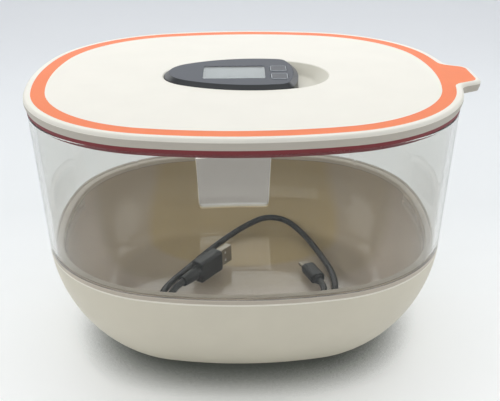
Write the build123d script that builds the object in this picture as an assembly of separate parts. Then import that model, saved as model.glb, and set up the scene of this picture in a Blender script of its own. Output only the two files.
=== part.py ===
from build123d import *
import math
import os

# Dough proofer: base shell, clear bowl, sealed lid with a display module, and its lead.
# Millimetres. +Z is up, +X to the right of the photographed side, +Y to its back.
# Shapes are drawn about the middle of the bowl. The last step moves them along X, so that
# the origin lies under the middle of the whole, pull tab included, where the feet stand.

# Plan shape, taken along the shell's rim: half sizes, and each arc's radius over one of them
RIM_HALF_WIDTH = 118.4
RIM_HALF_DEPTH = 106.2
FRONT_TO_WIDTH = 2.036
SIDE_TO_DEPTH = 1.723
CORNER_TO_DEPTH = 0.779

# Heights
RIM_Z = 70.0
SHELL_BASE_Z = 3.2
BOWL_FLOOR_Z = 20.0
BOWL_WALL_HEIGHT = 84.1
LID_THICKNESS = 6.0
SEAL_THICKNESS = 2.2

# Shell and liner walls
DRAFT_ANGLE = 5.3
SIDE_CURVE_RADIUS = 87.0
SHELL_FOOT_RADIUS = 35.0
SHELL_WALL = 2.6
LINER_WALL = 1.6
LINER_GAP = 0.1
LINER_FOOT_RADIUS = 22.0
RIM_FILLET = 0.8

# Notch in the rear wall
NOTCH_X = -7.0
NOTCH_TOP_WIDTH = 57.0
NOTCH_BOTTOM_WIDTH = 52.5
NOTCH_BOTTOM_Z = 34.0
NOTCH_RADIUS = 3.5

# Clear bowl
BOWL_WALL = 3.0
BOWL_GAP = 0.4
SEAT_GAP = 0.1
BOWL_FOOT_RADIUS = 20.0
BOWL_FLARE = 4.1
BOWL_LEDGE = 2.4
BOWL_LEDGE_FILLET = 0.8
BOWL_RIM_FILLET = 1.0

# Feet
FOOT_SIDE_INSET = 68.4
FOOT_FRONT_INSET = 70.2
FOOT_RADIUS = 11.0
FOOT_HEIGHT = 6.4
FOOT_FILLET = 1.0

# Fasteners
FIT_GAP = 0.15
THREAD_GAP = 0.05
LINER_SCREW_X = 57.0
LINER_SCREW_Y = 10.0
LINER_SCREW_RADIUS = 1.5
LINER_SCREW_LENGTH = 9.0
SCREW_HEAD_RATIO = 1.9
SCREW_HEAD_HEIGHT = 2.0
BOSS_WALL = 2.4
BOSS_SPLIT_Z = 9.0

# Heater under the liner's floor
HEATER_PLATE_MARGIN = 6.0
HEATER_PLATE_THICKNESS = 1.2
HEATER_FILM_MARGIN = 5.0
HEATER_FILM_THICKNESS = 0.3
HEATER_SENSOR_X = 18.0
HEATER_SENSOR_LENGTH = 6.0
HEATER_SENSOR_WIDTH = 3.0
HEATER_SENSOR_HEIGHT = 1.8
TAIL_WIDTH = 8.0
TAIL_X = -14.0
TAIL_INSET = 18.0
TAIL_SOCKET_DEPTH = 4.0
TAIL_SOCKET_HEIGHT = 3.0

# Control board in the base
BOARD_WIDTH = 50.0
BOARD_DEPTH = 28.0
BOARD_INSET = 44.2
BOARD_Z = 9.2
BOARD_THICKNESS = 1.2
BOARD_SCREW_INSET = 4.0
BOARD_SCREW_RADIUS = 1.0
BOARD_SCREW_LENGTH = 3.6
BOARD_SCREW_HEAD = 1.3
BOARD_CHIP_SIZE = 7.0
BOARD_CHIP_HEIGHT = 1.2

# Power socket and its bezel in the rear wall
SOCKET_WIDTH = 8.9
SOCKET_HEIGHT = 3.2
SOCKET_LENGTH = 7.3
SOCKET_WALL = 0.35
SOCKET_TONGUE = 0.7
SOCKET_TONGUE_MARGIN = 0.8
BEZEL_WIDTH = 15.0
BEZEL_HEIGHT = 9.0
BEZEL_WALL = 0.8
BEZEL_FACE = 1.5
BEZEL_RADIUS = 2.0

# Lid cover
LID_OVERHANG = 5.3
LID_PLATE = 3.4
LID_EDGE_FILLET = 1.6
LID_SKIRT_WALL = 2.2
LID_SKIRT_TAPER = 19.0
LID_RIB_WIDTH = 2.0

# Pull tab on the right of the lid
TAB_Y = -4.0
TAB_REACH = 11.4
TAB_BASE_HALF = 21.0
TAB_TIP_HALF = 15.0
TAB_TIP_RADIUS = 6.0
TAB_FLARE_RADIUS = 9.0

# Soft inlay
INLAY_INSET = 6.4
INLAY_WIDTH = 7.7
INLAY_DEPTH = 0.9
INLAY_TAB_MARGIN = 2.6

# Seal and inner panel
SEAL_LIP = 1.3
SEAL_LIP_DROP = 2.4
SEAL_GAP = 0.3
PANEL_FLANGE = 1.6
PANEL_WALL = 1.9
PANEL_DROP = 4.8
PANEL_PLATE = 1.4

# Recess for the display module
RECESS_X = 1.5
RECESS_Y = -2.5
RECESS_HALF_LENGTH = 48.6
RECESS_LONG_RADIUS = 81.0
RECESS_LEFT_RADIUS = 24.0
RECESS_RIGHT_RADIUS = 30.0
SCOOP_DEPTH = 6.0
SCOOP_TAPER = 50.0
SCOOP_FILLET = 3.0
TUB_WALL = 1.4

# Display module
MODULE_MARGIN = 1.0
MODULE_RIGHT_X = 31.8
MODULE_END_RADIUS = 80.0
MODULE_CORNER = 9.0
MODULE_DEPTH = 7.0
MODULE_PROUD = 2.0
MODULE_BEVEL_WIDTH = 2.8
MODULE_BEVEL_HEIGHT = 2.0
MODULE_WALL = 1.6
MODULE_FLOOR = 1.2
MODULE_GAP = 0.3
MODULE_FACE = 1.2
MODULE_FACE_GAP = 0.1
MODULE_LEDGE = 0.7

# Display and keys
LCD_X = -5.4
LCD_Y = -4.1
LCD_WIDTH = 35.7
LCD_DEPTH = 26.4
LCD_RADIUS = 1.8
LCD_BORDER = 1.4
LCD_THICKNESS = 1.5
WINDOW_THICKNESS = 1.0
WINDOW_RECESS = 0.15
KEY_X = 20.4
KEY_Y = -6.1
KEY_SPACING = 16.2
KEY_WIDTH = 9.7
KEY_DEPTH = 11.5
KEY_RADIUS = 1.6
KEY_PROUD = 0.35
KEY_GAP = 0.25
KEY_FLANGE = 0.3
KEY_FLANGE_THICKNESS = 0.45
KEY_TOP_FILLET = 0.3
KEY_TRAVEL = 0.5
KEY_STOP_GAP = 0.1

# Module inside
MODULE_BOARD_MARGIN = 3.0
MODULE_BOARD_THICKNESS = 1.0
SWITCH_SIZE = 5.0
CELL_X = -14.0
CELL_RADIUS = 10.0
CELL_THICKNESS = 3.2
CELL_HOLDER_WALL = 1.0
CELL_HOLDER_HEIGHT = 2.4
CELL_GAP = 0.15
DOOR_RADIUS = 11.6
DOOR_SLOT_WIDTH = 1.6
DOOR_SLOT_DEPTH = 0.6
STUB_X = 10.0
STUB_RADIUS = 3.2
STUB_LENGTH = 5.2
STUB_BORE = 2.2
STUB_SLOT_WIDTH = 0.9
STUB_SLOT_DEPTH = 1.4
STUB_FLANGE = 1.2
MODULE_SCREW_RADIUS = 0.8
MODULE_SCREW_LENGTH = 3.2
MODULE_SCREW_HEAD = 0.5
MODULE_POST_WALL = 1.1
MODULE_SCREW_LEFT = (-33.0, 11.0)
MODULE_SCREW_RIGHT = (20.6, 19.0)

# Lead and its plugs
LEAD_DIAMETER = 4.2
LEAD_REST_GAP = 0.05
LEAD_RADIUS_SHARE = 0.45
PLUG_WIDTH = 12.0
PLUG_HEIGHT = 4.5
PLUG_LENGTH = 12.0
PLUG_WALL = 0.35
PLUG_EDGE = 0.6
PLUG_TONGUE = 1.9
PLUG_TONGUE_BACK = 0.8
PLUG_HOLE = 2.0
PLUG_HOLE_SPACING = 5.6
PLUG_HOLE_REACH = 5.8
GRIP_WIDTH = 15.0
GRIP_HEIGHT = 9.0
GRIP_LENGTH = 21.0
GRIP_EDGE = 2.2
GRIP_END_FILLET = 0.9
BOOT_LENGTH = 14.0
BOOT_RADIUS = 4.1
BOOT_TIP_RADIUS = 3.3
BOOT_STEP = 3.0
TIP_WIDTH = 8.3
TIP_HEIGHT = 2.5
TIP_LENGTH = 6.5
TIP_WALL = 0.3
TIP_TONGUE = 0.7
SMALL_GRIP_WIDTH = 9.8
SMALL_GRIP_HEIGHT = 7.4
SMALL_GRIP_LENGTH = 16.0
SMALL_GRIP_EDGE = 3.2
SMALL_BOOT_LENGTH = 2.4
SMALL_BOOT_RADIUS = 3.0

# Lead's route from the large plug to the small one: x, y, and rise above the bowl's floor
LEAD_ROUTE = [
    (-39.4, -13.3, 5.4),
    (-43.9, -19.1, 5.2),
    (-47.6, -26.9, 2.0),
    (-47.2, -35.2, 0.0),
    (-42.3, -42.2, 0.0),
    (-33.4, -45.6, 0.0),
    (-20.0, -45.9, 0.0),
    (0.0, -44.8, 0.0),
    (20.0, -42.6, 0.0),
    (36.0, -39.5, 0.0),
    (49.2, -32.8, 0.0),
    (56.5, -21.3, 0.0),
    (58.6, -6.5, 0.0),
    (57.2, 10.0, 0.0),
    (52.9, 28.5, 0.0),
    (47.2, 50.0, 0.0),
    (40.8, 66.6, 0.7),
    (31.3, 77.2, 4.3),
    (16.8, 79.8, 5.8),
    (2.6, 74.4, 1.8),
    (-10.4, 60.6, 0.0),
    (-25.0, 37.5, 0.0),
    (-38.0, 13.0, 0.0),
    (-49.0, -6.5, 0.0),
    (-53.0, -18.7, 0.0),
    (-53.4, -32.0, 0.0),
    (-48.6, -45.0, 0.0),
    (-37.2, -52.2, 0.0),
    (-20.5, -54.0, 0.0),
    (-9.5, -51.0, 2.4),
    (-1.0, -46.4, 5.6),
    (8.5, -41.0, 5.6),
    (17.5, -37.4, 2.4),
    (26.5, -35.2, 0.0),
    (34.8, -33.2, 0.0),
    (44.1, -29.2, 0.0),
    (49.3, -22.3, 0.4),
    (50.6, -14.6, 1.65),
    (48.2, -7.6, 1.65),
]

# Sizes that follow from the ones above
FRONT_RADIUS = FRONT_TO_WIDTH * RIM_HALF_WIDTH
SIDE_RADIUS = SIDE_TO_DEPTH * RIM_HALF_DEPTH
CORNER_RADIUS = CORNER_TO_DEPTH * RIM_HALF_DEPTH
FOOT_X = RIM_HALF_WIDTH - FOOT_SIDE_INSET
FOOT_Y = RIM_HALF_DEPTH - FOOT_FRONT_INSET
BOARD_REAR_Y = RIM_HALF_DEPTH - BOARD_INSET
TAIL_Y = BOARD_REAR_Y - TAIL_INSET
BOWL_TOP_Z = RIM_Z + BOWL_WALL_HEIGHT
SKIRT_Z = BOWL_TOP_Z + SEAL_THICKNESS
LID_Z = SKIRT_Z + LID_THICKNESS
LINER_Z = BOWL_FLOOR_Z - BOWL_GAP - LINER_WALL
LINER_INSET = SHELL_WALL + LINER_GAP
BOWL_INSET = LINER_INSET + LINER_WALL + BOWL_GAP
BOARD_TOP_Z = BOARD_Z + BOARD_THICKNESS
BOARD_Y = BOARD_REAR_Y - BOARD_DEPTH / 2
SOCKET_Z = BOARD_TOP_Z + SOCKET_HEIGHT / 2
MODULE_TOP_Z = LID_Z + MODULE_PROUD
MODULE_BASE_Z = LID_Z - MODULE_DEPTH
FACE_Z = MODULE_TOP_Z - MODULE_FACE
MODULE_BOARD_TOP_Z = FACE_Z - MODULE_FACE_GAP - LCD_THICKNESS
MODULE_BOARD_Z = MODULE_BOARD_TOP_Z - MODULE_BOARD_THICKNESS
PANEL_Z = SKIRT_Z - PANEL_DROP
KEY_FLANGE_Z = FACE_Z - THREAD_GAP - KEY_FLANGE_THICKNESS
SWITCH_HEIGHT = KEY_FLANGE_Z - KEY_TRAVEL - KEY_STOP_GAP - MODULE_BOARD_TOP_Z
OUT = 60.0


# Plan outline

def crossing(start, start_radius, end, end_radius):
    """Where two circles cross, on the right of the line from one centre to the other."""
    dx = end[0] - start[0]
    dy = end[1] - start[1]
    apart = math.hypot(dx, dy)
    along = (start_radius**2 - end_radius**2 + apart**2) / (2 * apart)
    across = math.sqrt(start_radius**2 - along**2)
    return start[0] + (dx * along + dy * across) / apart, start[1] + (dy * along - dx * across) / apart


def plan_centres():
    """Centres of the front, corner and side arcs in the quarter where x and y are positive."""
    front = (0.0, RIM_HALF_DEPTH - FRONT_RADIUS)
    side = (RIM_HALF_WIDTH - SIDE_RADIUS, 0.0)
    corner = crossing(front, FRONT_RADIUS - CORNER_RADIUS, side, SIDE_RADIUS - CORNER_RADIUS)
    return front, corner, side


def plan_wire(grow=0.0, z=0.0):
    """The rim's outline moved outward by grow, starting in the middle of the right side."""
    front, corner, side = plan_centres()
    side_end = math.degrees(math.atan2(corner[1], corner[0] - side[0]))
    front_end = math.degrees(math.atan2(corner[1] - front[1], corner[0]))
    bend = front_end - side_end
    cx, cy = corner
    arcs = [
        (side[0], 0, SIDE_RADIUS, 0, side_end),
        (cx, cy, CORNER_RADIUS, side_end, bend),
        (0, front[1], FRONT_RADIUS, front_end, 180 - 2 * front_end),
        (-cx, cy, CORNER_RADIUS, 180 - front_end, bend),
        (-side[0], 0, SIDE_RADIUS, 180 - side_end, 2 * side_end),
        (-cx, -cy, CORNER_RADIUS, 180 + side_end, bend),
        (0, -front[1], FRONT_RADIUS, 180 + front_end, 180 - 2 * front_end),
        (cx, -cy, CORNER_RADIUS, 360 - front_end, bend),
        (side[0], 0, SIDE_RADIUS, -side_end, side_end),
    ]
    return Wire([CenterArc((x, y, z), radius + grow, start, size) for x, y, radius, start, size in arcs])


def plan_plate(grow, low, high):
    """A flat plate with the plan's outline, from height low to high."""
    return extrude(Face(plan_wire(grow, low)), high - low, dir=(0, 0, 1))


def band(edges):
    """A closed section of (offset, height) edges carried round the plan."""
    section = Pos(RIM_HALF_WIDTH, 0) * make_face(edges)
    return sweep(Plane.XZ * section, path=plan_wire())


def ring(inner, outer, low, high):
    """A square-cut ring between two offsets of the plan."""
    return plan_plate(outer, low, high) - plan_plate(inner, low, high)


# Side curve shared by the shell, the liner and the bowl's lower part

WALL_CENTRE = (
    -SIDE_CURVE_RADIUS * math.cos(math.radians(DRAFT_ANGLE)),
    RIM_Z + SIDE_CURVE_RADIUS * math.sin(math.radians(DRAFT_ANGLE)),
)


class SideCurve:
    """A large arc down from the rim and a small one into the floor, inset from the shell's face."""

    def __init__(self, inset, foot_radius, floor_z):
        self.big = SIDE_CURVE_RADIUS - inset
        self.foot = foot_radius
        self.floor_z = floor_z
        rise = WALL_CENTRE[1] - floor_z - foot_radius
        self.turn = math.asin(rise / (self.big - foot_radius))
        reach = (self.big - foot_radius) * math.cos(self.turn)
        self.foot_centre = (WALL_CENTRE[0] + reach, floor_z + foot_radius)
        self.floor_offset = self.foot_centre[0]

    def big_point(self, angle, wall):
        radius = self.big - wall
        return WALL_CENTRE[0] + radius * math.cos(angle), WALL_CENTRE[1] - radius * math.sin(angle)

    def foot_point(self, angle, wall):
        radius = self.foot - wall
        return (
            self.foot_centre[0] + radius * math.cos(angle),
            self.foot_centre[1] - radius * math.sin(angle),
        )

    def start_angle(self, top_z, wall):
        return math.asin((WALL_CENTRE[1] - top_z) / (self.big - wall))

    def arcs(self, top_z, wall=0.0):
        """The two arcs from height top_z down to the floor, moved inward by wall."""
        start = self.start_angle(top_z, wall)
        middle = (start + self.turn) / 2
        low = (self.turn + math.pi / 2) / 2
        knee = self.big_point(self.turn, wall)
        return [
            ThreePointArc(self.big_point(start, wall), self.big_point(middle, wall), knee),
            ThreePointArc(knee, self.foot_point(low, wall), self.foot_point(math.pi / 2, wall)),
        ]


SHELL_CURVE = SideCurve(0.0, SHELL_FOOT_RADIUS, SHELL_BASE_Z)
LINER_CURVE = SideCurve(LINER_INSET, LINER_FOOT_RADIUS, LINER_Z)
BOWL_CURVE = SideCurve(BOWL_INSET, BOWL_FOOT_RADIUS, BOWL_FLOOR_Z)


def basin(curve, wall, top_z):
    """An open basin: the wall along the side curve, and its flat floor."""
    outer = curve.arcs(top_z)
    inner = curve.arcs(top_z, wall)
    rim = Line(outer[0] @ 0, inner[0] @ 0)
    step = Line(outer[1] @ 1, inner[1] @ 1)
    floor = plan_plate(curve.floor_offset, curve.floor_z, curve.floor_z + wall)
    return band(outer + inner + [rim, step]) + floor


def basin_body(curve, top_z):
    """The whole space inside a side curve, filled."""
    outer = curve.arcs(top_z)
    corner = (curve.floor_offset, top_z)
    lid = Line(outer[0] @ 0, corner)
    core_edge = Line(corner, outer[1] @ 1)
    core = plan_plate(curve.floor_offset, curve.floor_z, top_z)
    return band(outer + [lid, core_edge]) + core


def notch():
    """The open-topped notch in the rear wall, as the solid that is cut away."""
    half_top = NOTCH_TOP_WIDTH / 2
    half_bottom = NOTCH_BOTTOM_WIDTH / 2
    lean = (half_top - half_bottom) / (RIM_Z - NOTCH_BOTTOM_Z)
    high = RIM_Z + NOTCH_BOTTOM_Z
    half_high = half_bottom + lean * (high - NOTCH_BOTTOM_Z)
    outline = Polygon(
        (-half_bottom, NOTCH_BOTTOM_Z),
        (half_bottom, NOTCH_BOTTOM_Z),
        (half_high, high),
        (-half_high, high),
        align=None,
    )
    outline = fillet(outline.vertices().sort_by(Axis.Y)[:2], NOTCH_RADIUS)
    start = RIM_HALF_DEPTH - 2 * SHELL_FOOT_RADIUS
    return Pos(NOTCH_X, 0) * extrude(Plane.XZ.offset(-start) * outline, -OUT - start)


def posts(points, radius, low, high):
    """Round posts of one radius on a list of points."""
    post = Cylinder(radius, high - low, align=(Align.CENTER, Align.CENTER, Align.MIN))
    return [Pos(x, y, low) * post for x, y in points]


def screws(points, radius, length, head_height, seat_z, up=True):
    """Pan-head screws; the head is below seat_z if the screw points up, and above it if not."""
    head = Cylinder(radius * SCREW_HEAD_RATIO, head_height, align=(Align.CENTER, Align.CENTER, Align.MAX))
    head = fillet(head.edges().filter_by(GeomType.CIRCLE).sort_by(Axis.Z)[0], head_height * 0.4)
    driver = RegularPolygon(radius * 0.9, 6)
    head -= extrude(Pos(0, 0, -head_height) * driver, head_height / 2)
    shank = Cylinder(radius, length, align=(Align.CENTER, Align.CENTER, Align.MIN))
    tip = shank.edges().filter_by(GeomType.CIRCLE).sort_by(Axis.Z)[-1]
    screw = head + chamfer(tip, radius * 0.4)
    turn = Rot(0, 0, 0) if up else Rot(180, 0, 0)
    return Compound([Pos(x, y, seat_z) * turn * screw for x, y in points])


# Base

LINER_SCREWS = [(x, y) for x in (-LINER_SCREW_X, LINER_SCREW_X) for y in (-LINER_SCREW_Y, LINER_SCREW_Y)]
BOARD_SCREW_X = BOARD_WIDTH / 2 - BOARD_SCREW_INSET
BOARD_SCREW_Y = BOARD_DEPTH / 2 - BOARD_SCREW_INSET
BOARD_SCREWS = [
    (x, BOARD_Y + y) for x in (-BOARD_SCREW_X, BOARD_SCREW_X) for y in (-BOARD_SCREW_Y, BOARD_SCREW_Y)
]
FEET = {
    "foot_front_left": (-FOOT_X, -FOOT_Y),
    "foot_front_right": (FOOT_X, -FOOT_Y),
    "foot_rear_left": (-FOOT_X, FOOT_Y),
    "foot_rear_right": (FOOT_X, FOOT_Y),
}
SCREW_SEAT_Z = BOSS_SPLIT_Z - SHELL_WALL


def base_shell():
    shell = basin(SHELL_CURVE, SHELL_WALL, RIM_Z)
    rim = shell.edges().filter_by(lambda edge: edge.bounding_box().min.Z > RIM_Z - THREAD_GAP)
    shell = fillet(rim, RIM_FILLET)
    inside = basin_body(SHELL_CURVE, RIM_Z)
    for boss in posts(LINER_SCREWS, LINER_SCREW_RADIUS * SCREW_HEAD_RATIO + BOSS_WALL, 0, BOSS_SPLIT_Z):
        shell += boss & inside
    for post in posts(BOARD_SCREWS, BOARD_SCREW_RADIUS + BOSS_WALL, 0, BOARD_Z):
        shell += post & inside
    for pad in posts(FEET.values(), FOOT_RADIUS + FIT_GAP + SHELL_WALL, 0, FOOT_HEIGHT + FIT_GAP + SHELL_WALL):
        shell += pad & inside
    for hole in posts(LINER_SCREWS, LINER_SCREW_RADIUS + THREAD_GAP, 0, BOSS_SPLIT_Z):
        shell -= hole
    for sink in posts(LINER_SCREWS, LINER_SCREW_RADIUS * SCREW_HEAD_RATIO + FIT_GAP, 0, SCREW_SEAT_Z):
        shell -= sink
    drill = BOARD_TOP_Z - BOARD_SCREW_LENGTH - FIT_GAP
    for hole in posts(BOARD_SCREWS, BOARD_SCREW_RADIUS + THREAD_GAP, drill, BOARD_Z):
        shell -= hole
    for pocket in posts(FEET.values(), FOOT_RADIUS + FIT_GAP, 0, FOOT_HEIGHT):
        shell -= pocket
    shell -= bezel_block(FIT_GAP)
    return shell - notch()


def base_liner():
    top_z = RIM_Z - SEAT_GAP
    liner = basin(LINER_CURVE, LINER_WALL, top_z)
    for boss in posts(LINER_SCREWS, LINER_SCREW_RADIUS + BOSS_WALL, BOSS_SPLIT_Z, LINER_Z):
        liner += boss
    drill = SCREW_SEAT_Z + LINER_SCREW_LENGTH + FIT_GAP
    for hole in posts(LINER_SCREWS, LINER_SCREW_RADIUS + THREAD_GAP, BOSS_SPLIT_Z, drill):
        liner -= hole
    return liner - notch()


def heater_plate():
    edge = LINER_CURVE.floor_offset - HEATER_PLATE_MARGIN
    plate = plan_plate(edge, LINER_Z - HEATER_PLATE_THICKNESS, LINER_Z)
    for hole in posts(LINER_SCREWS, LINER_SCREW_RADIUS + BOSS_WALL + FIT_GAP, 0, LINER_Z):
        plate -= hole
    return plate


def heater_film():
    """Film heater under the plate, with a tail that drops to its socket on the board."""
    top = LINER_Z - HEATER_PLATE_THICKNESS
    edge = LINER_CURVE.floor_offset - HEATER_PLATE_MARGIN - HEATER_FILM_MARGIN
    film = plan_plate(edge, top - HEATER_FILM_THICKNESS, top)
    for hole in posts(LINER_SCREWS, LINER_SCREW_RADIUS + BOSS_WALL + 2 * FIT_GAP, 0, top):
        film -= hole
    tail_foot = BOARD_TOP_Z + TAIL_SOCKET_HEIGHT
    tail = Box(TAIL_WIDTH, HEATER_FILM_THICKNESS, top - tail_foot, align=(Align.CENTER, Align.CENTER, Align.MIN))
    return film + Pos(TAIL_X, TAIL_Y, tail_foot) * tail


def heater_sensor():
    """Temperature bead in its clip, against the film."""
    top = LINER_Z - HEATER_PLATE_THICKNESS - HEATER_FILM_THICKNESS
    bead = Box(
        HEATER_SENSOR_LENGTH,
        HEATER_SENSOR_WIDTH,
        HEATER_SENSOR_HEIGHT,
        align=(Align.CENTER, Align.CENTER, Align.MAX),
    )
    bead = fillet(bead.edges().filter_by(Axis.Z), HEATER_SENSOR_WIDTH / 3)
    return Pos(HEATER_SENSOR_X, 0, top) * bead


def control_board():
    board = Pos(0, BOARD_Y, BOARD_Z) * Box(
        BOARD_WIDTH, BOARD_DEPTH, BOARD_THICKNESS, align=(Align.CENTER, Align.CENTER, Align.MIN)
    )
    for hole in posts(BOARD_SCREWS, BOARD_SCREW_RADIUS + THREAD_GAP, BOARD_Z, BOARD_TOP_Z):
        board -= hole
    chip = Box(BOARD_CHIP_SIZE, BOARD_CHIP_SIZE, BOARD_CHIP_HEIGHT, align=(Align.CENTER, Align.CENTER, Align.MIN))
    board += Pos(BOARD_CHIP_SIZE, BOARD_Y, BOARD_TOP_Z) * chip
    tail_socket = Box(
        TAIL_WIDTH + 2 * BEZEL_WALL,
        TAIL_SOCKET_DEPTH,
        TAIL_SOCKET_HEIGHT,
        align=(Align.CENTER, Align.CENTER, Align.MIN),
    )
    return board + Pos(TAIL_X, TAIL_Y, BOARD_TOP_Z) * tail_socket


def stadium(width, height, depth, y):
    """A flat-sided round-ended bar along Y, starting at y, at the socket's height."""
    face = Plane.XZ.offset(-y) * Pos(0, SOCKET_Z) * RectangleRounded(width, height, height * 0.49)
    return extrude(face, -depth)


def power_socket():
    """Receptacle on the board's rear edge: metal tube, closed at the back, with its tongue."""
    start = BOARD_REAR_Y - SOCKET_LENGTH
    body = stadium(SOCKET_WIDTH, SOCKET_HEIGHT, SOCKET_LENGTH, start)
    mouth = stadium(
        SOCKET_WIDTH - 2 * SOCKET_WALL,
        SOCKET_HEIGHT - 2 * SOCKET_WALL,
        SOCKET_LENGTH - SOCKET_TONGUE_MARGIN,
        start + SOCKET_TONGUE_MARGIN,
    )
    tongue = Box(
        SOCKET_WIDTH - SOCKET_HEIGHT + SOCKET_TONGUE,
        SOCKET_LENGTH - 2 * SOCKET_TONGUE_MARGIN,
        SOCKET_TONGUE,
        align=(Align.CENTER, Align.MIN, Align.CENTER),
    )
    return body - mouth + Pos(0, start + SOCKET_TONGUE_MARGIN, SOCKET_Z) * tongue


def bezel_block(margin):
    """Rounded block through the rear wall, at the socket, grown by margin."""
    size = RectangleRounded(BEZEL_WIDTH + 2 * margin, BEZEL_HEIGHT + 2 * margin, BEZEL_RADIUS + margin)
    return extrude(Plane.XZ.offset(-BOARD_REAR_Y) * Pos(0, SOCKET_Z) * size, -OUT)


def socket_bezel():
    """Sleeve between the socket and the outside, cut flush with the shell's face."""
    face_y = BOARD_REAR_Y + BEZEL_FACE
    pocket = RectangleRounded(
        BEZEL_WIDTH - 2 * BEZEL_WALL, BEZEL_HEIGHT - 2 * BEZEL_WALL, BEZEL_RADIUS - BEZEL_WALL
    )
    sleeve = bezel_block(0.0) - extrude(Plane.XZ.offset(-face_y) * Pos(0, SOCKET_Z) * pocket, -OUT)
    sleeve -= stadium(SOCKET_WIDTH + FIT_GAP, SOCKET_HEIGHT + FIT_GAP, BEZEL_FACE, BOARD_REAR_Y)
    return sleeve & basin_body(SHELL_CURVE, RIM_Z)


def foot(x, y):
    pad = Cylinder(FOOT_RADIUS, FOOT_HEIGHT, align=(Align.CENTER, Align.CENTER, Align.MIN))
    sole = pad.edges().filter_by(GeomType.CIRCLE).sort_by(Axis.Z)[0]
    return Pos(x, y, 0) * fillet(sole, FOOT_FILLET)


# Bowl

def clear_bowl():
    """Flared wall, a ledge that sits on the shell's rim, and a curved lower part inside it."""
    shoulder_z = RIM_Z + SEAT_GAP
    ledge_z = shoulder_z + BOWL_LEDGE
    lean = BOWL_FLARE / BOWL_WALL_HEIGHT
    outer = BOWL_CURVE.arcs(shoulder_z)
    inner = BOWL_CURVE.arcs(ledge_z, BOWL_WALL)
    upper = Polyline(
        inner[0] @ 0,
        (lean * BOWL_LEDGE - BOWL_WALL, ledge_z),
        (BOWL_FLARE - BOWL_WALL, BOWL_TOP_Z),
        (BOWL_FLARE, BOWL_TOP_Z),
        (0, shoulder_z),
        outer[0] @ 0,
    )
    section = make_face(outer + inner + [Line(outer[1] @ 1, inner[1] @ 1)] + upper.edges())
    section = fillet(section.vertices().sort_by(Axis.Y)[-2:], BOWL_RIM_FILLET)
    ledge = section.vertices().filter_by(lambda vertex: abs(vertex.Y - ledge_z) < THREAD_GAP)
    section = fillet(ledge, BOWL_LEDGE_FILLET)
    wall = sweep(Plane.XZ * Pos(RIM_HALF_WIDTH, 0) * section, path=plan_wire())
    return wall + plan_plate(BOWL_CURVE.floor_offset, BOWL_FLOOR_Z, BOWL_FLOOR_Z + BOWL_WALL)


# Lid

def tab_outline(grow, margin, z):
    """The plan moved outward by grow, with the pull tab drawn in by margin and its roots rounded."""
    tip_x = RIM_HALF_WIDTH + LID_OVERHANG + TAB_REACH - margin
    root_x = RIM_HALF_WIDTH + grow - TAB_REACH
    slope = (TAB_BASE_HALF - TAB_TIP_HALF) / TAB_REACH
    tip_half = TAB_TIP_HALF + slope * margin - margin
    root_half = tip_half + slope * (tip_x - root_x)
    wedge = Polygon((root_x, root_half), (root_x, -root_half), (tip_x, -tip_half), (tip_x, tip_half), align=None)
    wedge = fillet(wedge.vertices().sort_by(Axis.X)[-2:], TAB_TIP_RADIUS)
    outline = Sketch() + Face(plan_wire(grow)) + Pos(0, TAB_Y) * wedge
    swollen = offset(outline, TAB_FLARE_RADIUS)
    return Pos(0, 0, z) * offset(swollen, -TAB_FLARE_RADIUS)


def recess_outline(inset):
    """Oval of the recess, blunter on the right: two end arcs joined by two long ones."""
    left = (RECESS_LEFT_RADIUS - RECESS_HALF_LENGTH, 0.0)
    right = (RECESS_HALF_LENGTH - RECESS_RIGHT_RADIUS, 0.0)
    to_left = RECESS_LONG_RADIUS - RECESS_LEFT_RADIUS
    to_right = RECESS_LONG_RADIUS - RECESS_RIGHT_RADIUS
    x, y = crossing(left, to_left, right, to_right)
    left_end = math.degrees(math.atan2(-y, left[0] - x))
    right_end = math.degrees(math.atan2(-y, right[0] - x))
    long_radius = RECESS_LONG_RADIUS - inset
    arcs = [
        CenterArc(right, RECESS_RIGHT_RADIUS - inset, -right_end, 2 * right_end),
        CenterArc((x, y), long_radius, right_end, left_end - right_end),
        CenterArc(left, RECESS_LEFT_RADIUS - inset, left_end, 360 - 2 * left_end),
        CenterArc((x, -y), long_radius, 360 - left_end, left_end - right_end),
    ]
    return Pos(RECESS_X, RECESS_Y) * make_face(arcs)


def module_outline(inset):
    """The recess's oval, with a shallow arc across it on the right, where the scoop begins."""
    end = Rot(0, 0, 180) * Circle(MODULE_END_RADIUS - inset)
    outline = recess_outline(MODULE_MARGIN + inset) & Pos(MODULE_RIGHT_X - MODULE_END_RADIUS, RECESS_Y) * end
    corners = outline.vertices().sort_by(Axis.X)[-2:]
    return fillet(corners, MODULE_CORNER - inset)


def module_plate(inset, low, high):
    return extrude(Pos(0, 0, low) * module_outline(inset), high - low)


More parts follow.
